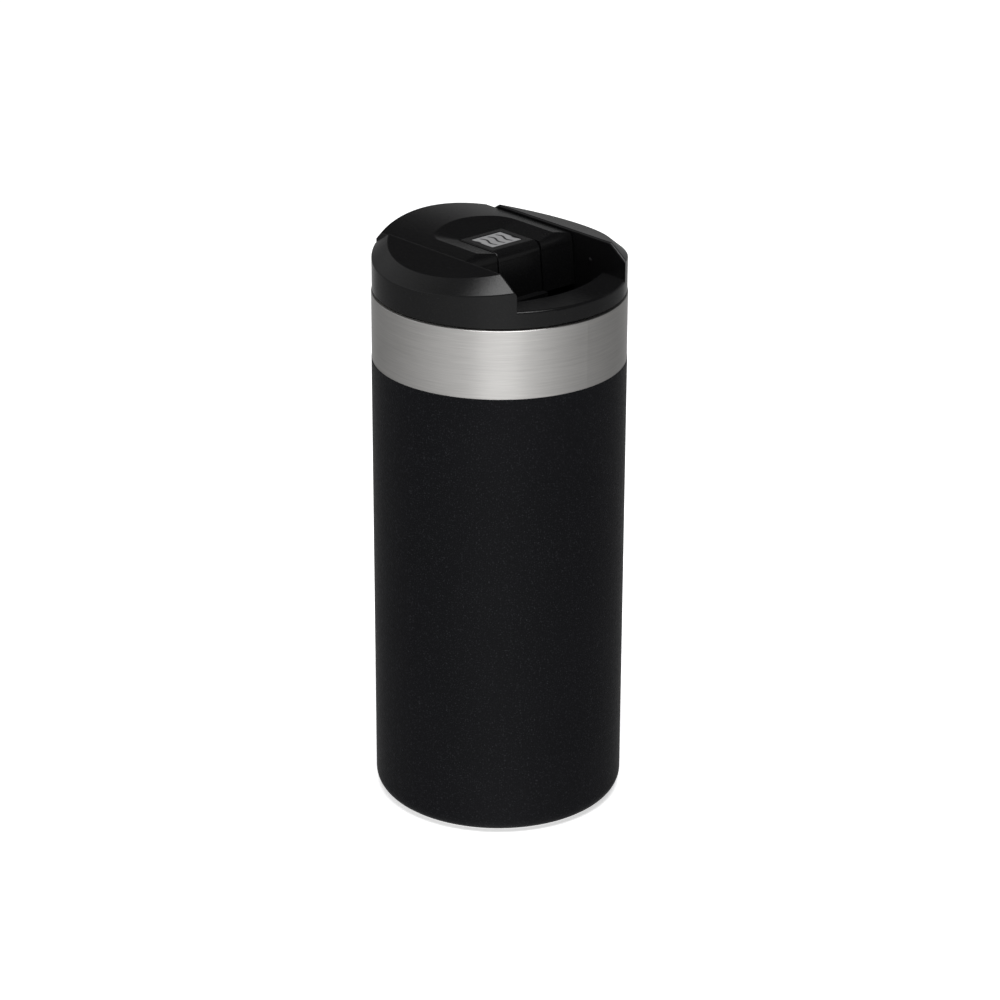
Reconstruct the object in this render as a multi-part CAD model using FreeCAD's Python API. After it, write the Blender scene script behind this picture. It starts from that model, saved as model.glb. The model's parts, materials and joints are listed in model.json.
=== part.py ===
import FreeCAD, Part
import os
from math import atan, cos, degrees, radians, sin, sqrt
from FreeCAD import Vector

# A slim stainless vacuum flask with a screw-in lid and a one-touch flip cap.
# Millimetres. +Z is up, the origin is the centre of the foot, +X is the drinking side.

# --- vessel ----------------------------------------------------------------------------------
body_r = 36.5            # outside radius over the powder coat
coat = 0.1               # powder coat thickness
shell_wall = 0.6         # outer steel wall
liner_wall = 0.5         # inner steel wall
rim_z = 155.2            # height of the steel rim
band_h = 19.9            # bare steel left below the rim
corner_r = 4.9           # outside radius at the foot of the body
coat_end = -65           # the coat stops this far round that corner, in degrees
rim_round = 0.2          # rounding of the rim's outer edge
cup_h = 14.0             # height of the pressed base cup
foot_w = 4.1             # width of the flat foot ring
foot_rise = 2.4          # depth of the recess inside the foot ring
foot_slope = 1.2         # run of the recess wall
nozzle_r = 2.0           # hole the flask is evacuated through
bead_w = 1.0             # overlap of the sealing bead
bead_t = 0.5
disc_t = 1.4             # cover disc in the recess
disc_gap = 0.6           # radial gap round the cover disc
neck_gap = 4.5           # neck bore inside the body's outside
step_w = 2.0             # width of the sealing step below the neck
step_fall = 0.4          # fall of the sealing step
neck_h = 18.25           # depth of the neck below the rim
floor_z = 8.0            # inside floor of the flask
liner_corner = 5.5       # inside corner radius at that floor
getter_r = 6.0
getter_t = 1.5
clip_t = 0.4
clip_lip = 1.0

# --- thread ----------------------------------------------------------------------------------
pitch = 4.0
thread_turns = 1.0
thread_h = 1.0           # ridge height
thread_tip = 0.4         # half width at the tip
thread_root = 0.8        # half width at the wall
flank_gap = 0.15         # gap between the loaded flanks
thread_depth = 8.7       # neck ridge starts this far below the rim
bury = 0.2               # how far a ridge or hook is sunk in its wall

# --- lid: heights are from the steel rim ----------------------------------------------------
lid_inset = 0.3          # lid wall inside the body's outside
seam = 0.6               # shadow gap between rim and lid
seat_gap = 0.1           # plug flange over the rim
flange_t = 1.5
flange_inset = 0.9       # flange edge inside the lid wall
wall = 2.2               # lid wall
ledge_h = 5.4            # front and rear ledges
ledge_w = 10.0           # width of the front ledge on the centre line
ledge_arc = 40.0         # radius of its inner edge
ledge_round = 0.8
skirt_round = 0.3        # lower edge of the lid
wing_y = 20.5            # inner faces of the two wings
wing_h = 15.0            # ridge height
wing_fall = 0.25         # outward slope of the wing tops
wing_wall = 2.0
bevel_w = 4.6            # bevel round the wings, measured inward
bevel_h = 10.9           # its lower edge, at the wing ends
bevel_fall = 0.14        # outward slope of that edge
wing_round = 0.5         # rounding of the wing edges
tub_gap = 0.2            # tub to the plug's inner wall
tub_wall = 1.2
tub_floor_h = -2.8
tub_floor_t = 1.8
plug_wall = 2.8
plug_clear = 0.4         # plug wall to thread tips of the neck
plug_low_h = -20.6       # underside of the plug
plug_floor_t = 2.0
lip_clear = 0.4          # plug foot to flask bore
gasket_h = 2.6
gasket_depth = 1.7       # groove depth
gasket_gap = 0.1         # gap round the gasket, which turns in its groove
gasket_clear = 0.2       # gasket to thread tips
gasket_bevel = 0.6

spout_x = -6.0           # centre of the drinking opening
spout_a = 6.0            # half length along X
spout_b = 10.0           # half width along Y
spout_wall = 1.6
spout_h = 1.3
vent_x = -21.0
vent_r = 1.5
vent_wall = 1.2
vent_h = -0.7
pip_x = 15.4             # small pips on the wings' inner faces
pip_h = 7.8
pip_r = 0.9
pip_out = 0.35
keeper_x = 11.8          # catch that the latch hook goes under
keeper_w = 6.0
keeper_t = 2.0
keeper_h = 1.0

# --- flip cap: heights are from the steel rim ------------------------------------------------
side_gap = 0.3           # cap to wings
cap_h = 16.28
crown_drop = 2.27        # fall of the crowned top at the cap's sides
cap_front_x = 8.3        # front face at its top
cap_draft = 0.105        # forward run of the front face per mm down
cap_round = 5.0          # rounding of the top front edge
cap_edge_round = 0.5     # rounding of the cap's side edges
cap_foot_h = -0.6        # lower edge in front
cap_side_h = 3.2         # lower edge behind the tub
cap_skirt_h = 6.1        # lower edge of the rear skirt
step_clear = 2.7         # the first step of the lower edge, inside the tub
skirt_clear = 0.85       # the second step, inside the rear wall
rear_bevel_w = 3.54      # bevel of the rear rim, inward
rear_bevel_h = 4.45      # and down
cap_wall = 2.0
front_wall = 1.4         # cap's front wall at its top
ceiling_h = 11.8
scoop_x = -17.6          # rear edge of the scoop round the button
scoop_y = 14.4           # its side edges
scoop_round = 10.0       # its rear corners, at the top
scoop_low_round = 1.0    # and at the button
scoop_lip = 0.2          # the scoop ends this far below the button's top
liner_h = 3.7            # underside of the liner plate
liner_t = 1.4
liner_gap = 1.6          # liner plate to the cap's front face
liner_notch = 2.4        # room behind the button's leg
pad_gap = 0.2            # silicone pads over the spout and vent
nose_gap = 0.8           # stopper nose in the spout
nose_h = 1.2

hinge_inset = 2.6        # hinge axis inside the lid wall
hinge_h = 9.3
pin_r = 0.9              # both pins
pin_clear = 0.06         # running clearance on both pins
barrel_r = 2.2
barrel_y = 7.0           # half length of the cap's barrel
barrel_block = 3.5       # solid part of the cap in front of the hinge axis
lug_t = 2.6              # thickness of the lid's hinge lugs
lug_gap = 0.3
lug_relief = 0.8         # room cut in the cap round each lug
spring_y = 3.1           # half width of the gap for the hinge spring
spring_wire = 0.35
spring_coil = 1.7
spring_gap = 0.4         # room round each spring
spring_end = 0.5         # room at each end of its coil
spring_turns = 5
spring_reach = 4.0       # the leg under the cap reaches this far past the coil
spring_dip = 1.2         # and ends this far below the axis
leg_lap = 0.1            # a standing leg starts this far above its coil's end

# --- button -----------------------------------------------------------------------------------
button_y = 7.9           # half width
button_gap = 0.4         # gap line round the button
button_rear_x = -7.8
button_h = 14.2          # top of the button
button_t = 2.2
button_front_x = 8.4
button_round = 3.0
button_edge_round = 0.3
button_foot_h = -1.6
hook_out = 1.2
hook_tip_t = 0.6         # hook thickness at its tip
hook_root_t = 1.8        # and at the button
latch_x = 1.0
latch_h = 8.3
latch_lug_r = 2.3
latch_spring_y = 2.8
latch_wire = 0.3
latch_coil = 1.5
latch_leg_gap = 0.7      # end of its leg to the button's front wall
latch_dip = 1.8          # and below the axis
latch_foot_gap = 0.1     # its other leg over the liner plate
boss_drop = 3.0          # the cap's pin bosses reach this far below the pin
emblem_x = -1.4          # centre of the emblem plate
emblem_a = 4.6           # half length along X
emblem_b = 5.6           # half width along Y
emblem_t = 0.5
emblem_gap = 0.1
emblem_sink = 0.1        # plate's top below the button's top
emblem_round = 0.6

# --- allowances of the construction -----------------------------------------------------------
past = 1.0               # cutting shapes run this far past the material
tiny = 0.001             # keeps two surfaces from coinciding, and tells points apart

# --- worked out from the above ----------------------------------------------------------------
steel_r = body_r - coat
neck_r = body_r - neck_gap
bore_r = neck_r - step_w
lid_r = body_r - lid_inset
plug_r = neck_r - thread_h - plug_clear
tub_r = plug_r - plug_wall - tub_gap
tub_in = tub_r - tub_wall
lid_z = rim_z + seam
ledge_z = rim_z + ledge_h
ridge_z = rim_z + wing_h
flange_z = rim_z + seat_gap
seat_z = flange_z + flange_t
channel_z = seat_z + tub_wall
step_z = rim_z - neck_h
tub_floor_z = rim_z + tub_floor_h
tub_low_z = tub_floor_z - tub_floor_t
plug_low_z = rim_z + plug_low_h
plug_floor_z = plug_low_z + plug_floor_t
spout_z = rim_z + spout_h
vent_z = rim_z + vent_h
cap_z = rim_z + cap_h
cap_y = wing_y - side_gap
cap_foot_z = rim_z + cap_foot_h
ceiling_z = rim_z + ceiling_h
liner_z = rim_z + liner_h
hinge_x = -(lid_r - hinge_inset)
hinge_z = rim_z + hinge_h
button_z = rim_z + button_h
button_foot_z = rim_z + button_foot_h
latch_z = rim_z + latch_h
slot_y = button_y + button_gap
slot_x = button_rear_x - button_gap
boss_y = slot_y + cap_wall
origin = Vector(0, 0, 0)
up = Vector(0, 0, 1)
across = Vector(0, 1, 0)


def wire(*items):
    """A closed wire. Each item is a point, or (middle, end) for an arc from the last point."""
    first = items[0]
    last = first
    edges = []
    for item in items[1:] + (first,):
        if isinstance(item, tuple):
            edges.append(Part.Arc(last, item[0], item[1]).toShape())
            last = item[1]
        elif last.distanceToPoint(item) > tiny:
            edges.append(Part.LineSegment(last, item).toShape())
            last = item
    return Part.Wire(edges)


def at(r, z):
    """A point of a turned profile, or of a side profile."""
    return Vector(r, 0, z)


def bend(cx, cz, r, start, end):
    """An arc item about (cx, cz) in the XZ plane, by its angles in degrees."""
    middle = (start + end) / 2
    points = [at(cx + r * cos(radians(a)), cz + r * sin(radians(a))) for a in (middle, end)]
    return points[0], points[1]


def turned(*items):
    """A solid of revolution about Z."""
    return Part.Face(wire(*items)).revolve(origin, up, 360)


def slab(y0, y1, *items):
    """A side profile pulled across from y0 to y1."""
    shape = Part.Face(wire(*items)).extrude(Vector(0, y1 - y0, 0))
    shape.translate(Vector(0, y0, 0))
    return shape


def rod(r, z0, z1, x=0.0, y=0.0):
    return Part.makeCylinder(r, z1 - z0, Vector(x, y, z0), up)


def cross_rod(r, y0, y1, x, z):
    return Part.makeCylinder(r, y1 - y0, Vector(x, y0, z), across)


def ring(r_out, r_in, z0, z1):
    return rod(r_out, z0, z1).cut(rod(r_in, z0, z1))


def block(x0, x1, y0, y1, z0, z1):
    return Part.makeBox(x1 - x0, y1 - y0, z1 - z0, Vector(x0, y0, z0))


def oval(a, b, z0, z1, x):
    """An upright oval prism, a along X and b along Y."""
    ellipse = Part.Ellipse(Vector(x, 0, z0), max(a, b), min(a, b))
    edge = ellipse.toShape()
    if b > a:
        edge.rotate(Vector(x, 0, z0), up, 90)
    return Part.Face(Part.Wire([edge])).extrude(Vector(0, 0, z1 - z0))


def mirrored(shape):
    """The same piece on the other side."""
    return shape.mirror(origin, across)


def both(shape):
    return shape.fuse(mirrored(shape))


def ridge(wall_r, inward, z):
    """One helical thread ridge on a wall, standing inward or outward."""
    way = -1 if inward else 1
    root = thread_root + (thread_root - thread_tip) * bury / thread_h
    base_r = wall_r - way * bury
    tip_r = wall_r + way * thread_h
    section = wire(at(base_r, z - root), at(base_r, z + root), at(tip_r, z + thread_tip),
                   at(tip_r, z - thread_tip))
    path = Part.makeHelix(pitch, pitch * thread_turns, wall_r)
    path.translate(Vector(0, 0, z))
    return Part.Wire(path.Edges).makePipeShell([section], True, True)


def coil(coil_r, wire_r, y0, y1, x, z, turns):
    """A close-wound coil across the flask, round the axis through (x, z)."""
    step = (y1 - y0) / turns
    path = Part.makeHelix(step, y1 - y0, coil_r)
    section = Part.Wire([Part.Circle(Vector(coil_r, 0, 0), across, wire_r).toShape()])
    shape = Part.Wire(path.Edges).makePipeShell([section], True, True)
    shape.rotate(origin, Vector(1, 0, 0), -90)
    shape.translate(Vector(x, y0, z))
    return shape


def stick(start, end, r):
    return Part.makeCylinder(r, start.distanceToPoint(end), start, end - start)


# --- vessel -----------------------------------------------------------------------------------
def make_outer_shell():
    """Outer tube and the rim turned in to meet the liner."""
    inner = steel_r - shell_wall
    liner_out = neck_r + liner_wall
    return turned(at(steel_r, cup_h), at(steel_r, rim_z - rim_round),
                  bend(steel_r - rim_round, rim_z - rim_round, rim_round, 0, 90),
                  at(liner_out, rim_z), at(liner_out, rim_z - shell_wall),
                  at(inner, rim_z - shell_wall), at(inner, cup_h))


def make_powder_coat():
    """Thin coloured skin from the band down round the bottom corner."""
    centre_r = body_r - corner_r
    steel_corner = corner_r - coat
    end = radians(coat_end)
    return turned(at(body_r, rim_z - band_h), at(body_r, steel_corner),
                  bend(centre_r, steel_corner, corner_r, 0, coat_end),
                  at(centre_r + steel_corner * cos(end), steel_corner + steel_corner * sin(end)),
                  bend(centre_r, steel_corner, steel_corner, coat_end, 0),
                  at(steel_r, rim_z - band_h))


def recess_radius():
    """Radius of the recess inside the foot ring."""
    return body_r - corner_r - foot_w - foot_slope


def make_base_cup():
    """Pressed cup that closes the outer tube, with a foot ring and a recess."""
    r = corner_r - coat
    centre_r = steel_r - r
    foot_in = centre_r - foot_w
    recess_r = recess_radius()
    t = shell_wall
    return turned(at(steel_r, cup_h), at(steel_r, r), bend(centre_r, r, r, 0, -90),
                  at(foot_in, 0), at(recess_r, foot_rise), at(nozzle_r, foot_rise),
                  at(nozzle_r, foot_rise + t), at(recess_r + t / 2, foot_rise + t),
                  at(foot_in + t / 2, t), at(centre_r, t), bend(centre_r, r, r - t, -90, 0),
                  at(steel_r - t, cup_h))


def make_base_disc():
    return rod(recess_radius() - disc_gap, foot_rise - disc_t, foot_rise)


def make_vacuum_plug():
    """Sealing bead that closes the evacuation hole."""
    top = foot_rise + shell_wall
    return rod(nozzle_r, foot_rise, top).fuse(rod(nozzle_r + bead_w, top, top + bead_t))


def make_inner_shell():
    """Deep-drawn liner with the sealing step and the neck thread."""
    t = liner_wall
    low = floor_z + liner_corner
    centre_r = bore_r - liner_corner
    liner = turned(at(0, floor_z - t), at(centre_r, floor_z - t),
                   bend(centre_r, low, liner_corner + t, -90, 0),
                   at(bore_r + t, step_z - step_fall - t), at(neck_r + t, step_z - t),
                   at(neck_r + t, rim_z), at(neck_r, rim_z), at(neck_r, step_z),
                   at(bore_r, step_z - step_fall), at(bore_r, low),
                   bend(centre_r, low, liner_corner, 0, -90), at(0, floor_z))
    return liner.fuse(ridge(neck_r, True, rim_z - thread_depth))


def make_getter_tablet():
    top = floor_z - liner_wall
    return rod(getter_r, top - getter_t, top)


def make_getter_clip():
    """Cup-shaped clip that holds the tablet under the liner."""
    top = floor_z - liner_wall
    low = top - getter_t
    side = ring(getter_r + clip_t, getter_r, low, top)
    return side.fuse(ring(getter_r + clip_t, getter_r - clip_lip, low - clip_t, low))


# --- lid --------------------------------------------------------------------------------------
def tilted_rim(r, z, fall):
    """A closed curve that is round from above and falls towards +Y, at height z over wing_y."""
    length = r * sqrt(1 + fall ** 2)
    edge = Part.Ellipse(origin, length, r).toShape()
    edge.rotate(origin, up, 90)
    edge.rotate(origin, Vector(1, 0, 0), -degrees(atan(fall)))
    edge.translate(Vector(0, 0, z + fall * wing_y))
    return Part.Wire([edge])


def above(z, fall, far):
    """Everything over a plane that falls towards +Y, at height z over wing_y."""
    corners = [Vector(-far, y, z - fall * (y - wing_y)) for y in (-far, far)]
    lid = [Vector(-far, y, z + 2 * far) for y in (far, -far)]
    return Part.Face(wire(*corners, *lid)).extrude(Vector(2 * far, 0, 0))


def wing_blank(inset, low, edge_round):
    """One wing (+Y side): a segment with a sloping top and a bevel round its outer edge."""
    r = lid_r - inset
    far = lid_r + past
    low_rim = rim_z + bevel_h - inset
    lower = rod(r, low, ridge_z).cut(above(low_rim, bevel_fall, far))
    bevel = Part.makeLoft([tilted_rim(r, low_rim, bevel_fall),
                           tilted_rim(r - bevel_w, ridge_z - inset, wing_fall)], True, True)
    segment = lower.fuse(bevel).common(block(-far, far, wing_y + inset, far, low, 2 * ridge_z))
    segment = segment.removeSplitter()
    if edge_round == 0:
        return segment
    edges = [edge for edge in segment.Edges if edge.BoundBox.ZMin > ledge_z]
    return segment.makeFillet(edge_round, edges)


def middle_of(edge):
    return edge.valueAt((edge.FirstParameter + edge.LastParameter) / 2)


def between_wings(shape):
    """The part of a shape that lies in the channel between the wings."""
    return shape.common(block(-2 * lid_r, 2 * lid_r, -wing_y, wing_y, 0, 2 * rim_z))


def spout_oval(extra, z0, z1):
    return oval(spout_a + extra, spout_b + extra, z0, z1, spout_x)


def make_lid_housing():
    """Collar, two wings, front and rear ledges and the tub between them, with the spout."""
    collar = turned(at(0, lid_z), at(lid_r - skirt_round, lid_z),
                    bend(lid_r - skirt_round, lid_z + skirt_round, skirt_round, -90, 0),
                    at(lid_r, ledge_z - ledge_round),
                    bend(lid_r - ledge_round, ledge_z - ledge_round, ledge_round, 0, 90),
                    at(0, ledge_z))
    wings = both(wing_blank(0, lid_z + skirt_round, wing_round))
    shape = collar.fuse(wings).fuse(rod(tub_r, tub_low_z, seat_z))

    # seat for the plug's flange, and hollow wings
    seat = ring(lid_r - flange_inset + seat_gap, tub_r, lid_z, seat_z)
    hollow = both(wing_blank(wing_wall, seat_z, 0))
    shape = shape.cut(seat).cut(hollow)

    # channel above the flange: round at the back, a shallow arc in front
    front = rod(ledge_arc, channel_z, ridge_z + past, lid_r - ledge_w - ledge_arc)
    rear = rod(lid_r - wall, channel_z, ridge_z + past)
    channel = between_wings(front.common(rear))
    tub = between_wings(rod(tub_in, tub_floor_z, ridge_z + past))
    shape = shape.cut(channel).cut(tub)

    # drinking spout, vent and catch
    spout = spout_oval(spout_wall, plug_floor_z, spout_z)
    vent = rod(vent_r + vent_wall, plug_floor_z, vent_z, vent_x)
    keeper = block(keeper_x, keeper_x + keeper_t, -keeper_w, keeper_w, tub_floor_z, rim_z + keeper_h)
    shape = shape.fuse(spout).fuse(vent).fuse(keeper)
    shape = shape.cut(spout_oval(0, plug_low_z, spout_z + past))
    shape = shape.cut(rod(vent_r, plug_low_z, vent_z + past, vent_x))

    # hinge lugs and the pips on the wings
    shape = shape.fuse(both(make_lug()))
    pip = Part.makeSphere(pip_r, Vector(pip_x, wing_y + pip_r - pip_out, rim_z + pip_h))
    return shape.fuse(both(pip)).removeSplitter()


def make_lug():
    """One hinge lug on the rear wall, with its pin hole."""
    y0 = barrel_y + lug_gap
    y1 = y0 + lug_t
    low = ledge_z - wall
    stem = block(hinge_x - barrel_r, hinge_x + barrel_r, y0, y1, low, hinge_z)
    lug = stem.fuse(cross_rod(barrel_r, y0, y1, hinge_x, hinge_z))
    lug = lug.common(rod(lid_r, low, cap_z))
    return lug.cut(cross_rod(pin_r, y0, y1, hinge_x, hinge_z))


def make_lid_plug():
    """Threaded plug: flange, wall with gasket groove, and a floor with two openings."""
    inner = plug_r - plug_wall
    edge = lid_r - flange_inset
    groove = plug_r - gasket_depth
    groove_top = step_z + gasket_h + 2 * gasket_gap
    foot_r = bore_r - lip_clear
    plug = turned(at(edge, flange_z), at(edge, seat_z), at(tub_r, seat_z), at(tub_r, flange_z),
                  at(inner, flange_z - tub_floor_t), at(inner, plug_floor_z), at(0, plug_floor_z),
                  at(0, plug_low_z), at(foot_r, plug_low_z), at(foot_r, step_z), at(groove, step_z),
                  at(groove, groove_top), at(plug_r, groove_top), at(plug_r, flange_z))
    flank_run = (thread_root - thread_tip) * plug_clear / thread_h
    engage = thread_root + thread_tip - flank_run + flank_gap
    plug = plug.fuse(ridge(plug_r, False, rim_z - thread_depth - engage))
    low = plug_low_z - past
    top = plug_floor_z + past
    return plug.cut(spout_oval(0, low, top)).cut(rod(vent_r, low, top, vent_x))


def make_plug_gasket():
    """Silicone ring in the plug's groove, over the sealing step of the neck."""
    low = step_z + gasket_gap
    top = low + gasket_h
    r_in = plug_r - gasket_depth + gasket_gap
    r_out = neck_r - thread_h - gasket_clear
    return turned(at(r_in, low), at(r_out, low), at(r_out, top - gasket_bevel),
                  at(r_out - gasket_bevel, top), at(r_in, top))


# --- hinge ------------------------------------------------------------------------------------
def make_hinge_pin():
    half = barrel_y + lug_gap + lug_t
    return cross_rod(pin_r, -half, half, hinge_x, hinge_z)


def torsion_spring(coil_r, wire_r, half, x, z, over, low):
    """Coil round a pin, with one leg forward to `over` and one leg down to height `low`."""
    leg_x = x + coil_r
    wound = coil(coil_r, wire_r, -half, half, x, z, spring_turns)
    forward = stick(Vector(leg_x, -half, z), Vector(over.x, -half, over.z), wire_r)
    down = stick(Vector(leg_x, half, z + leg_lap), Vector(leg_x, half, low), wire_r)
    return wound.fuse(forward).fuse(down)


def make_hinge_spring():
    """Torsion spring on the hinge pin, one leg on the lid and one under the cap."""
    over = at(hinge_x + spring_coil + spring_reach, hinge_z - spring_dip)
    half = spring_y - spring_end
    return torsion_spring(spring_coil, spring_wire, half, hinge_x, hinge_z, over, channel_z)


# --- flip cap ---------------------------------------------------------------------------------
def front_at(z):
    """The cap's front face leans forward towards its foot."""
    return cap_front_x + cap_draft * (cap_z - cap_round - z)


def cap_profile():
    """Side profile of the cap, cut square at the back."""
    back = -lid_r - past
    top = cap_z + tiny
    corner_z = cap_z - cap_round
    side_z = rim_z + cap_side_h
    skirt_z = rim_z + cap_skirt_h
    step_x = -sqrt(tub_in ** 2 - cap_y ** 2) + step_clear
    skirt_x = -sqrt((lid_r - wall) ** 2 - cap_y ** 2) + skirt_clear
    return (at(back, skirt_z), at(back, top), at(cap_front_x - cap_round, top),
            bend(cap_front_x - cap_round, corner_z, cap_round, 90, 0),
            at(front_at(cap_foot_z), cap_foot_z), at(step_x, cap_foot_z),
            at(step_x, side_z), at(skirt_x, side_z), at(skirt_x, skirt_z))


def scoop():
    """Shallow dish round the button: its walls fall from the rim to the button's edges."""
    low_z = button_z - scoop_lip
    high_z = cap_z + past
    side_rim_z = cap_z - crown_drop * (scoop_y / cap_y) ** 2
    side = slot_y + (scoop_y - slot_y) * (high_z - low_z) / (side_rim_z - low_z)
    rear = slot_x + (scoop_x - slot_x) * (high_z - low_z) / (cap_z - low_z)
    front = cap_front_x + cap_round
    return Part.makeLoft([scoop_outline(slot_x, slot_y, front, scoop_low_round, low_z),
                          scoop_outline(rear, side, front, scoop_round, high_z)], True, True)


def scoop_outline(rear, side, front, r, z):
    """Rectangle with two round rear corners, at height z."""
    q = r * (1 - cos(radians(45)))
    return wire(Vector(front, -side, z), Vector(front, side, z), Vector(rear + r, side, z),
                (Vector(rear + q, side - q, z), Vector(rear, side - r, z)),
                Vector(rear, -side + r, z), (Vector(rear + q, -side + q, z), Vector(rear + r, -side, z)))


def cap_blank():
    """The cap's outside: crowned top, bevelled rear rim, soft side edges."""
    shape = slab(-cap_y, cap_y, *cap_profile())
    disc = turned(at(0, 0), at(lid_r, 0), at(lid_r, cap_z - rear_bevel_h),
                  at(lid_r - rear_bevel_w, cap_z), at(0, cap_z))
    crown_r = (cap_y ** 2 + crown_drop ** 2) / (2 * crown_drop)
    axis = Vector(-2 * lid_r, 0, cap_z - crown_r)
    crown = Part.makeCylinder(crown_r, 4 * lid_r, axis, Vector(1, 0, 0))
    shape = shape.common(disc).common(crown)
    sides = [edge for edge in shape.Edges if on_cap_side(edge)]
    return shape.makeFillet(cap_edge_round, sides).cut(scoop())


def on_cap_side(edge):
    """True for the two straight edges along the top of the cap."""
    middle = middle_of(edge)
    straight = abs(abs(edge.tangentAt(edge.FirstParameter).x) - 1) < tiny
    return straight and abs(abs(middle.y) - cap_y) < tiny and middle.z > ceiling_z


def make_flip_cap():
    """Cap between the wings, with hinge barrels, a slot for the button and two pin bosses."""
    inner_y = cap_y - cap_wall
    inner_x = cap_front_x - front_wall
    inside = block(hinge_x + barrel_block, inner_x, -inner_y, inner_y, 0, ceiling_z)
    shape = cap_blank().cut(inside.common(rod(lid_r - wall, 0, ceiling_z)))

    # button slot, with side walls that carry its pin
    boss = block(slot_x - cap_wall, inner_x + bury, slot_y, boss_y, latch_z - boss_drop, ceiling_z)
    slot = block(slot_x, 2 * cap_front_x, -slot_y, slot_y, 0, cap_z + past)
    shape = shape.fuse(both(boss)).cut(slot)
    shape = shape.cut(cross_rod(pin_r, -boss_y, boss_y, latch_x, latch_z))

    # hinge: room for the lid's lugs, then the barrel and the gap for the spring
    relief = barrel_r + lug_relief
    lug_end = barrel_y + 2 * lug_gap + lug_t
    lug_room = block(-2 * lid_r, hinge_x + relief, barrel_y, lug_end, 0, hinge_z)
    lug_room = lug_room.fuse(cross_rod(relief, barrel_y, lug_end, hinge_x, hinge_z))
    under = block(-2 * lid_r, hinge_x + barrel_block, -barrel_y, barrel_y, 0, hinge_z)
    barrel = cross_rod(barrel_r, -barrel_y, barrel_y, hinge_x, hinge_z)
    shape = shape.cut(both(lug_room)).cut(under).fuse(barrel.common(rod(lid_r, 0, cap_z)))
    room = spring_wire + spring_gap
    coil_room = cross_rod(spring_coil + room, -spring_y, spring_y, hinge_x, hinge_z)
    leg_room = block(hinge_x, hinge_x + 2 * barrel_block, -spring_y, spring_y, 0, hinge_z + room)
    shape = shape.cut(coil_room).cut(leg_room)
    return shape.cut(cross_rod(pin_r + pin_clear, -barrel_y, barrel_y, hinge_x, hinge_z))


def make_cap_liner():
    """Plate that closes the cap from below and carries the two seals."""
    inner_y = cap_y - cap_wall
    front = cap_front_x - liner_gap
    rear = hinge_x + barrel_block + cap_wall
    top = liner_z + liner_t
    plate = block(rear, front, -inner_y, inner_y, liner_z, top)
    return plate.cut(block(front - liner_notch, front, -slot_y, slot_y, liner_z, top))


def make_spout_stopper():
    """Silicone pad over the spout, with a short nose that enters it."""
    pad = spout_oval(spout_wall, spout_z + pad_gap, liner_z)
    return pad.fuse(spout_oval(-nose_gap, spout_z - nose_h, spout_z + pad_gap))


def make_vent_stopper():
    return rod(vent_r + vent_wall, vent_z + pad_gap, liner_z, vent_x)


# --- button -----------------------------------------------------------------------------------
def make_latch_button():
    """Rocking button: top plate, front face, latch hook and two pivot lugs."""
    corner = button_z - button_round
    under = button_z - button_t
    foot_x = button_front_x + cap_draft * (corner - button_foot_z)
    back_x = foot_x - button_t
    plate = slab(-button_y, button_y,
                 at(button_rear_x, button_z), at(button_front_x - button_round, button_z),
                 bend(button_front_x - button_round, corner, button_round, 90, 0),
                 at(foot_x, button_foot_z), at(back_x, button_foot_z),
                 at(button_front_x - button_t, under), at(button_rear_x, under))
    rim = [edge for edge in plate.Edges if on_button_rim(edge, corner)]
    plate = plate.makeFillet(button_edge_round, rim)
    tip_x = foot_x + hook_out
    hook_z = button_foot_z + hook_root_t
    hook = slab(-keeper_w, keeper_w, at(back_x, button_foot_z), at(tip_x, button_foot_z),
                at(tip_x, button_foot_z + hook_tip_t), at(foot_x - bury, hook_z), at(back_x, hook_z))
    web = block(latch_x - latch_lug_r, latch_x + latch_lug_r, -button_y, button_y, latch_z, under)
    lugs = web.fuse(cross_rod(latch_lug_r, -button_y, button_y, latch_x, latch_z))
    room_x = 2 * latch_lug_r
    room = block(latch_x - room_x, latch_x + room_x, -latch_spring_y, latch_spring_y, 0, under)
    shape = plate.fuse(hook).fuse(lugs.cut(room))
    shape = shape.cut(cross_rod(pin_r + pin_clear, -button_y, button_y, latch_x, latch_z))
    sink = button_z - emblem_sink - emblem_t
    return shape.cut(emblem_blank(emblem_gap, sink, button_z + past)).removeSplitter()


def on_button_rim(edge, corner):
    """True for the outer edges of the button's top and front, along its two sides."""
    middle = middle_of(edge)
    outside = middle.z > button_z - tiny or middle.x > button_front_x - button_round
    ends = [abs(abs(vertex.Y) - button_y) < tiny for vertex in edge.Vertexes]
    same_side = edge.Vertexes[0].Y * edge.Vertexes[-1].Y > 0
    inner = middle.z < corner and middle.x < button_front_x
    return outside and all(ends) and same_side and not inner and middle.z > button_foot_z + tiny


def emblem_blank(extra, z0, z1):
    """Flat plate with four round corners."""
    a = emblem_a + extra
    b = emblem_b + extra
    plate = block(emblem_x - a, emblem_x + a, -b, b, z0, z1)
    upright = [edge for edge in plate.Edges if abs(edge.tangentAt(edge.FirstParameter).z) > 0.9]
    return plate.makeFillet(emblem_round, upright)


def make_emblem_plate():
    """Plain plate set into the button's top."""
    top = button_z - emblem_sink
    return emblem_blank(0, top - emblem_t, top)


def make_latch_pin():
    return cross_rod(pin_r, -boss_y, boss_y, latch_x, latch_z)


def make_latch_spring():
    """Torsion spring on the button's pin, pushing the hook forward."""
    over = at(button_front_x - button_t - latch_leg_gap, latch_z - latch_dip)
    low = liner_z + liner_t + latch_foot_gap
    half = latch_spring_y - spring_end
    return torsion_spring(latch_coil, latch_wire, half, latch_x, latch_z, over, low)


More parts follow.
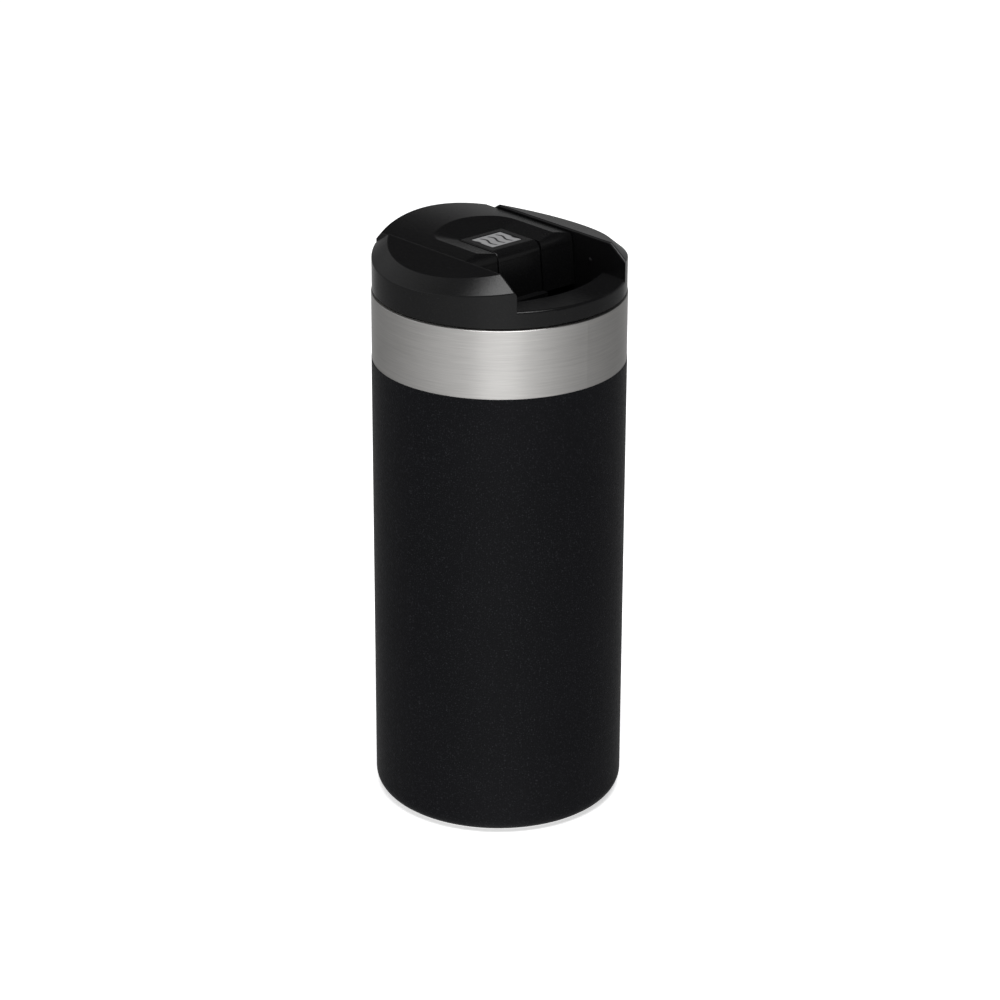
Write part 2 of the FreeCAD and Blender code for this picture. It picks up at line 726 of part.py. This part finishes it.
nodes = {
    "outer_shell": make_outer_shell,
    "powder_coat": make_powder_coat,
    "base_cup": make_base_cup,
    "base_disc": make_base_disc,
    "vacuum_plug": make_vacuum_plug,
    "inner_shell": make_inner_shell,
    "getter_tablet": make_getter_tablet,
    "getter_clip": make_getter_clip,
    "lid_housing": make_lid_housing,
    "lid_plug": make_lid_plug,
    "plug_gasket": make_plug_gasket,
    "hinge_pin": make_hinge_pin,
    "hinge_spring": make_hinge_spring,
    "flip_cap": make_flip_cap,
    "cap_liner": make_cap_liner,
    "spout_stopper": make_spout_stopper,
    "vent_stopper": make_vent_stopper,
    "latch_button": make_latch_button,
    "emblem_plate": make_emblem_plate,
    "latch_pin": make_latch_pin,
    "latch_spring": make_latch_spring,
}

os.makedirs("parts", exist_ok=True)
for name, make in nodes.items():
    shape = make()
    shape.exportStep("parts/" + name + ".step")
    box = shape.BoundBox
    print(name, "valid" if shape.isValid() else "INVALID", len(shape.Solids), "solid(s)",
          round(shape.Volume, 1), "mm3,", "X", round(box.XMin, 2), round(box.XMax, 2),
          "Y", round(box.YMin, 2), round(box.YMax, 2), "Z", round(box.ZMin, 2), round(box.ZMax, 2))
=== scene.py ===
# %% [markdown]
# # Vacuum flask
# The flask comes from CAD as 21 separate pieces that already sit in the right place. This lesson
# gives them their surfaces, and adds a floor, soft lights and a camera. Everything is in metres,
# Z is up, and the front of the flask, the side that one drinks from, looks along +X.

# %% Load the CAD pieces
import bpy
import json
from math import cos, pi, radians, sin
from mathutils import Matrix, Vector


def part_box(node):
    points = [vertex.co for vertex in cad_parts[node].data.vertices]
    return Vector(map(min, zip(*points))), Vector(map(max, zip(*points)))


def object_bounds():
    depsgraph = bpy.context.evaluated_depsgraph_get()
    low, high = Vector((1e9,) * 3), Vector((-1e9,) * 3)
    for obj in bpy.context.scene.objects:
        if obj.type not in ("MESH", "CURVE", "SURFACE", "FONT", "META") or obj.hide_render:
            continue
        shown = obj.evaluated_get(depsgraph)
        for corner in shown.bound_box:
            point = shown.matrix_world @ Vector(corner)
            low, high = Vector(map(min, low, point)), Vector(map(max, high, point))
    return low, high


MM = 0.001

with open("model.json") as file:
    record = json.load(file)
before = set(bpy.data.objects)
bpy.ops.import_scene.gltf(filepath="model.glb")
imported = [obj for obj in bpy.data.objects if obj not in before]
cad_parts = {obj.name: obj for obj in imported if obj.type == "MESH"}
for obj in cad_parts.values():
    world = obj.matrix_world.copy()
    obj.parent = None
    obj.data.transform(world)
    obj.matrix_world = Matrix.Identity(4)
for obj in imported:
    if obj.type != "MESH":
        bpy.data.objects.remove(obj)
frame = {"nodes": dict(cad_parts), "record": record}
scene = bpy.context.scene
cad_low, cad_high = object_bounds()
print("pieces from CAD:", len(frame["nodes"]))
print("CAD box in mm:", [round(v / MM, 1) for v in (*cad_low, *cad_high)])

# %% [markdown]
# The camera stands nearly a metre away, to the left of the front and above the lid, and looks
# down. It could aim at an empty with a Track To constraint. Here it gets its turns directly,
# because two very small ones, to the side and about the view line, stand for a tripod that
# wasn't quite level. The lens is long, so the sides of the body stay almost parallel.

# %% Camera
view_turn = radians(48.0)       # how far the camera has walked round from the -Y side
look_down = radians(22.717)
side_turn = radians(0.0212)
roll = radians(0.1862)
stand_back = 0.87044            # metres from the flask's axis
stand_up = 0.45462              # metres above the floor
camera_data = bpy.data.cameras.new("camera")
camera_data.sensor_width = 36.0
camera_data.lens = 116.78
camera = bpy.data.objects.new("camera", camera_data)
scene.collection.objects.link(camera)
place = Matrix.Rotation(view_turn, 4, "Z") @ Vector((0.0, -stand_back, stand_up))
heading = Matrix.Rotation(view_turn - side_turn, 4, "Z")
tilt = Matrix.Rotation(pi / 2 - look_down, 4, "X") @ Matrix.Rotation(roll, 4, "Z")
camera.matrix_world = Matrix.Translation(place) @ heading @ tilt
scene.camera = camera
scene.view_settings.view_transform = "Standard"
print("camera at", [round(v, 3) for v in place])

# %% [markdown]
# A material is a small program made of nodes. One could place and link them by hand in the
# Shader editor, or with two lines of code for each link, and both are slow to read. So one small
# class wraps an output socket. Plus, minus, times and divide on it add Math nodes, and `add`
# makes any other node from its type, its settings and what goes into its sockets.


# %% A socket that can be added up
class Socket:
    """One output in a material's node tree."""

    def __init__(self, tree, socket):
        self.tree = tree
        self.socket = socket

    def add(self, kind, settings, inputs, output=0):
        """Any other node: its type, its settings, then the values or links of its sockets."""
        node = self.tree.nodes.new(kind)
        for name, value in settings.items():
            setattr(node, name, value)
        for name, value in inputs.items():
            if isinstance(value, Socket):
                self.tree.links.new(value.socket, node.inputs[name])
            else:
                node.inputs[name].default_value = value
        return Socket(self.tree, node.outputs[output])

    def math(self, operation, first, second=0.0):
        return self.add("ShaderNodeMath", {"operation": operation}, {0: first, 1: second})

    def __add__(self, other):
        return self.math("ADD", self, other)

    def __sub__(self, other):
        return self.math("SUBTRACT", self, other)

    def __mul__(self, other):
        return self.math("MULTIPLY", self, other)

    def __truediv__(self, other):
        return self.math("DIVIDE", self, other)

    def __rsub__(self, other):
        return self.math("SUBTRACT", other, self)

    def __rtruediv__(self, other):
        return self.math("DIVIDE", other, self)

    __radd__ = __add__
    __rmul__ = __mul__


print("operators on a socket:", [name for name in vars(Socket) if name.startswith("__r")])

# %% [markdown]
# Every finish starts the same way: a new material, its Principled shader, and the place of each
# point on the piece in metres. The place comes from Object coordinates, so a grain of 0.2 mm is
# 0.2 mm on every piece and stays put when the lid turns or the cap opens.


# %% Start and finish a material
def new_finish(name, **constants):
    """A material with constants on its shader. Returns the material, its shader and the place."""
    material = bpy.data.materials.new(name)
    material.use_nodes = True
    shader = material.node_tree.nodes["Principled BSDF"]
    for socket, value in constants.items():
        name_of_socket = socket.replace("_", " ")
        shader.inputs[name_of_socket].default_value = value
    place_on_piece = Socket(material.node_tree, None).add("ShaderNodeTexCoord", {}, {}, "Object")
    return material, shader, place_on_piece


def feed(shader, **links):
    """Link sockets of the shader, written with _ for a space."""
    for socket, value in links.items():
        value.tree.links.new(value.socket, shader.inputs[socket.replace("_", " ")])


def stretched(place, x, y, z):
    """The place, scaled by its own factor along each axis."""
    return place.add("ShaderNodeVectorMath", {"operation": "MULTIPLY"}, {0: place, 1: (x, y, z)})


def noise(place, per_metre, detail=2.0, roughness=0.5):
    """Cloudy noise between 0 and 1, with about so many blobs to the metre."""
    return place.add("ShaderNodeTexNoise", {}, {"Vector": place, "Scale": per_metre,
                                                "Detail": detail, "Roughness": roughness})


def grains(place, per_metre, randomness=1.0):
    """Distance to the nearest of many scattered points, as in sprayed or etched grain."""
    return place.add("ShaderNodeTexVoronoi", {}, {"Vector": place, "Scale": per_metre,
                                                  "Randomness": randomness})


def between(value, low, high):
    """Value stretched so that low becomes 0 and high becomes 1, and cut off there."""
    return value.add("ShaderNodeMapRange", {"clamp": True},
                     {"Value": value, "From Min": low, "From Max": high})


def mixed(amount, first, second):
    """A blend of two colours: the first where the amount is 0, the second where it is 1."""
    return amount.add("ShaderNodeMix", {"data_type": "RGBA"}, {0: amount, 6: first, 7: second}, 2)


def bumped(height, depth_mm):
    """A normal from a height between 0 and 1, which stands for a depth in millimetres."""
    return height.add("ShaderNodeBump", {}, {"Height": height, "Distance": depth_mm * MM,
                                             "Strength": 1.0})


print("helpers for finishes:", [f.__name__ for f in (stretched, noise, grains, between, mixed, bumped)])

# %% [markdown]
# ## The body: black powder coat
# Powder coat is sprayed on dry and baked. It melts into a thin skin with a fine pebbled grain,
# about half a millimetre across, and the grain catches a broad soft light as tiny glints. The
# grain could be modelled only with millions of faces, so it is a bump here, with a second,
# coarser swell as in real baked paint, and a few paler specks. The colour is a black with a
# trace of blue, and the gloss is low: most of what one sees is the dim glow of the room.

# %% Powder coat
powder, powder_shader, spot = new_finish("black_powder_coat", Specular_IOR_Level=0.10)
pebble = 1 - between(grains(spot, 2100), 0.0, 0.75)
swell = noise(spot, 700, 3.0)
specks = between(noise(spot, 2600, 2.0), 0.58, 0.74)
cloud = noise(spot, 45, 2.0)
tone = mixed(cloud, (0.0012, 0.0013, 0.0021, 1), (0.0026, 0.0027, 0.0038, 1))
feed(powder_shader,
     Base_Color=mixed(specks * 0.55, tone, (0.030, 0.031, 0.036, 1)),
     Roughness=0.40 + swell * 0.12 - specks * 0.12,
     Normal=bumped(pebble * 0.8 + swell * 0.6, 0.07))
print("powder coat made")

# %% [markdown]
# ## The rim: brushed steel
# The bare band was turned against an abrasive belt, so its scratches run round the flask. Noise
# that is stretched round the flask and squeezed in height gives such lines: short fine ones, a
# few broad ones, and faint blotches where the belt pressed harder. The shader's own anisotropy
# does what lines too fine to see do: it draws the light out across them. The inside of the
# flask is drawn, not brushed, so the same function makes it with a smoother, shinier surface.


# %% Brushed and drawn steel
def brushed_steel(name, colour, rough, line_depth_mm, fleck):
    finish, shader, spot = new_finish(name, Metallic=1.0, Anisotropic=0.85, Anisotropic_Rotation=0.25)
    fine = noise(stretched(spot, 120, 120, 5200), 1.0, 3.0, 0.6)
    broad = noise(stretched(spot, 22, 22, 1300), 1.0, 2.0)
    blotch = noise(stretched(spot, 60, 60, 90), 1.0, 2.0)
    lines = fine * 0.65 + broad * 0.35
    pale = tuple(min(1.0, v * 1.16) for v in colour)
    dark = tuple(v * 0.78 for v in colour)
    worn = between(lines + blotch * fleck, 0.30, 0.75 + fleck)
    feed(shader,
         Base_Color=mixed(worn, (*dark, 1), (*pale, 1)),
         Roughness=rough - 0.05 + lines * 0.10,
         Normal=bumped(lines, line_depth_mm))
    return finish


rim_steel = brushed_steel("brushed_steel", (0.62, 0.61, 0.595), 0.42, 0.004, 0.25)
inside_steel = brushed_steel("drawn_steel", (0.56, 0.55, 0.535), 0.22, 0.002, 0.10)
print("steel made")

# %% [markdown]
# ## The lid: moulded plastic
# The lid is moulded in a tool whose walls were etched, so its skin has a very fine leathery
# grain and looks satin, not shiny. The grain is a bump from scattered points and noise. Spots
# that hands touch are a little smoother, which the slow cloud stands for. A few pale flecks mixed
# into the colour are painted glints of light. One function serves the outer plastic, the duller
# plastic of the inner parts and the soft grey silicone seals.


# %% Moulded plastics
def moulded(name, dark, pale, rough, grain_per_metre, grain_depth_mm, painted_glint_share, level=0.5):
    finish, shader, spot = new_finish(name, Specular_IOR_Level=level)
    grain = 1 - between(grains(spot, grain_per_metre), 0.0, 0.8)
    fine = noise(spot, grain_per_metre * 1.7, 2.0)
    handled = noise(spot, 60, 3.0)
    # painted glints: pale flecks in the base colour stand in for tiny glints of light
    painted_glint = between(noise(spot, grain_per_metre * 1.3, 1.0), 0.62, 0.80)
    feed(shader,
         Base_Color=mixed(painted_glint * painted_glint_share, mixed(handled, dark, pale), (0.12, 0.12, 0.122, 1)),
         Roughness=rough + fine * 0.10 - handled * 0.07,
         Normal=bumped(grain * 0.6 + fine * 0.5, grain_depth_mm))
    return finish


lid_plastic = moulded("black_plastic", (0.0034, 0.0034, 0.0036, 1), (0.0050, 0.0050, 0.0053, 1),
                      0.23, 3600, 0.014, 0.10, 0.2)
inner_plastic = moulded("dark_plastic", (0.0030, 0.0030, 0.0032, 1), (0.0046, 0.0046, 0.0048, 1),
                        0.46, 2800, 0.015, 0.05, 0.2)
silicone = moulded("gray_silicone", (0.115, 0.117, 0.120, 1), (0.145, 0.147, 0.150, 1),
                   0.55, 1500, 0.010, 0.10)
print("plastics made")

# %% [markdown]
# ## Small metal parts
# Pins and springs are drawn wire: fine scratches along the wire and a brighter, smoother look.
# The getter and the solder bead in the foot are dull cast metal, mottled by heat. The wire's
# noise is stretched along Y, the direction of the pins.

# %% Wire and cast metal
wire_metal, wire_shader, spot = new_finish("spring_steel", Metallic=1.0)
drawn = noise(stretched(spot, 4000, 300, 4000), 1.0, 2.0)
feed(wire_shader,
     Base_Color=mixed(drawn, (0.42, 0.42, 0.43, 1), (0.62, 0.61, 0.60, 1)),
     Roughness=0.18 + drawn * 0.14,
     Normal=bumped(drawn, 0.003))
cast_metal, cast_shader, spot = new_finish("getter_metal", Metallic=1.0)
mottle = noise(spot, 900, 4.0, 0.65)
feed(cast_shader,
     Base_Color=mixed(mottle, (0.20, 0.19, 0.18, 1), (0.42, 0.41, 0.40, 1)),
     Roughness=0.38 + mottle * 0.25,
     Normal=bumped(mottle, 0.05))
print("small metals made")

# %% [markdown]
# ## The emblem: silver print on a black plate
# The plate in the button carries a plain sign of rising steam: wavy strokes left black in a
# silver field. It could be cut as geometry, but ink has no thickness to speak of. A sine along
# one side shifts each stroke, and the distance to the nearest stroke gives its edge, so the
# print stays sharp at any size. Places run from -1 to 1 across the plate, so it fits any plate.

# %% Emblem print
emblem_finish, emblem_shader, spot = new_finish("emblem_silver")
emblem_low, emblem_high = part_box("emblem_plate")
emblem_centre = (emblem_low + emblem_high) / 2
emblem_half = (emblem_high - emblem_low) / 2
from_centre = spot.add("ShaderNodeVectorMath", {"operation": "SUBTRACT"},
                       {0: spot, 1: tuple(emblem_centre)})
along = spot.add("ShaderNodeSeparateXYZ", {}, {0: from_centre}, 0) / emblem_half.x
across = spot.add("ShaderNodeSeparateXYZ", {}, {0: from_centre}, 1) / emblem_half.y
wave = spot.math("SINE", along * 4.4) * 0.10
off_stroke = spot.math("PINGPONG", across + wave, 0.26)
inside = 1 - between(spot.math("ABSOLUTE", along), 0.74, 0.78)
stroke = (1 - between(off_stroke, 0.055, 0.075)) * inside
field = (1 - between(spot.math("ABSOLUTE", along), 0.95, 0.97)) * (
    1 - between(spot.math("ABSOLUTE", across), 0.955, 0.975))
print_ink = field * (1 - stroke)
speckle = noise(spot, 5200, 2.0)
silver = mixed(speckle, (0.26, 0.26, 0.264, 1), (0.42, 0.42, 0.426, 1))
feed(emblem_shader,
     Base_Color=mixed(print_ink, (0.006, 0.006, 0.0065, 1), silver),
     Metallic=print_ink * 0.35,
     Roughness=0.42 + speckle * 0.12,
     Normal=bumped(print_ink + speckle * 0.2, 0.012))
print("emblem is", [round(2 * v / MM, 2) for v in emblem_half], "mm")

# %% [markdown]
# ## Putting the finishes on
# Each CAD piece names the finish it has, in the record's material slots. The loop gives every
# piece the material of that name, so a piece added in CAD later gets its finish by itself.

# %% Finishes onto the pieces
finishes = {
    "black_powder_coat": powder, "brushed_steel": rim_steel, "drawn_steel": inside_steel,
    "black_plastic": lid_plastic, "dark_plastic": inner_plastic, "gray_silicone": silicone,
    "spring_steel": wire_metal, "getter_metal": cast_metal, "emblem_silver": emblem_finish,
}
for entry in frame["record"]["subparts"]:
    piece = frame["nodes"][entry["node"]]
    piece.data.materials.clear()
    piece.data.materials.append(finishes[entry["material_slot"]])

# %% [markdown]
# ## Floor and light
# The flask stands on a white acrylic table that is lit from below, as for a catalogue, so the
# floor glows a little and only a faint shadow is left at the foot. A bare emitter would lose
# even that, so the floor is painted and glows at the same time. It is hidden from reflections:
# what the flask mirrors from below is set with the room, where it can be shaped.

# %% Floor
floor_half = 4.0                # metres from the middle to each side
floor_mesh = bpy.data.meshes.new("floor")
floor_mesh.from_pydata([(x * floor_half, y * floor_half, 0.0)
                        for x, y in ((-1, -1), (1, -1), (1, 1), (-1, 1))], [], [(0, 1, 2, 3)])
floor = bpy.data.objects.new("floor", floor_mesh)
scene.collection.objects.link(floor)
floor_paint, floor_shader, spot = new_finish("floor_paint", Roughness=0.7, Specular_IOR_Level=0.2,
                                             Emission_Strength=0.62)
paint_colour = mixed(noise(spot, 6.0), (0.93, 0.93, 0.93, 1), (0.95, 0.95, 0.95, 1))
feed(floor_shader, Base_Color=paint_colour, Emission_Color=paint_colour)
floor.data.materials.append(floor_paint)
floor.visible_glossy = False
print("floor is", 2 * floor_half, "m wide")

# %% [markdown]
# One softbox hangs over the flask, a little in front and to the right. It makes the bright end
# of the bevel on the near wing and the light line along the front ledge. A spotlight or the sun
# would give hard shadows and small hot glints, and a wide area light gives soft ones.

# %% Key light
key_turn = view_turn - pi / 2 + radians(11)     # from the camera's side, to the right
key_rise = radians(76)
key_distance = 1.6
key = bpy.data.lights.new("key_above", "AREA")
key.shape = "RECTANGLE"
key.size = 1.05
key.size_y = 0.8
key.energy = 26
lamp = bpy.data.objects.new("key_above", key)
scene.collection.objects.link(lamp)
outward = Vector((cos(key_turn) * cos(key_rise), sin(key_turn) * cos(key_rise), sin(key_rise)))
aim = Vector((0.0, 0.0, cad_high.z / 2))
facing = outward.to_track_quat("Z", "Y").to_matrix().to_4x4()
lamp.matrix_world = Matrix.Translation(aim + outward * key_distance) @ facing
print("key light at", [round(v, 2) for v in lamp.matrix_world.translation], "m")

# %% [markdown]
# The room itself lights the flask too. A real studio has a big pale screen in front, pale cloths
# low on all sides and a dark ceiling, so a round metal band looks bright in the middle and darker
# towards its sides. One could build those screens as glowing sheets, but they would show up in
# other views, so the world's strength follows the direction instead. `ahead` is 1 towards the
# screen and -1 behind the flask, `rise` is 1 straight up, and `low` is 1 near the floor's level
# and 0 above the cloths. A taller cloth on the left lights the bevels there.

# %% Room
room = bpy.data.worlds.new("room")
scene.world = room
room.use_nodes = True
room.cycles.sampling_method = "NONE"
sky = Socket(room.node_tree, None)
direction = sky.add("ShaderNodeTexCoord", {}, {}, "Generated")
towards_screen = (cos(view_turn - pi / 2), sin(view_turn - pi / 2), 0.0)
towards_left = (-cos(view_turn), -sin(view_turn), 0.0)
flat_direction = direction.add("ShaderNodeVectorMath", {"operation": "NORMALIZE"},
                               {0: stretched(direction, 1.0, 1.0, 0.0)})
ahead = direction.add("ShaderNodeVectorMath", {"operation": "DOT_PRODUCT"},
                      {0: flat_direction, 1: towards_screen}, "Value")
rise = direction.add("ShaderNodeSeparateXYZ", {}, {0: direction}, 2)
low = 1 - between(rise, 0.24, 0.42)
leftward = direction.add("ShaderNodeVectorMath", {"operation": "DOT_PRODUCT"},
                         {0: direction, 1: towards_left}, "Value")
left_cloth = between(leftward, 0.42, 0.66) * (1 - low)
screen = direction.math("POWER", ahead * 0.5 + 0.5, 2.4)
strip = between(ahead, 0.91, 0.985)
behind = between(0.0 - ahead, 0.84, 0.98) * (1 - between(rise, -0.30, -0.15))
ceiling_glow = 0.03
cloth_glow = 0.22
brightness = (ceiling_glow + left_cloth * 0.75 + behind * 0.30
              + low * (cloth_glow + screen * 0.66 + strip * 0.27))
room_light = room.node_tree.nodes["Background"]
room_light.inputs["Color"].default_value = (1.0, 1.0, 1.0, 1.0)
room.node_tree.links.new(brightness.socket, room_light.inputs["Strength"])
print("room made of", len(room.node_tree.nodes), "nodes")

# %% [markdown]
# The scene is handed over as it stands.
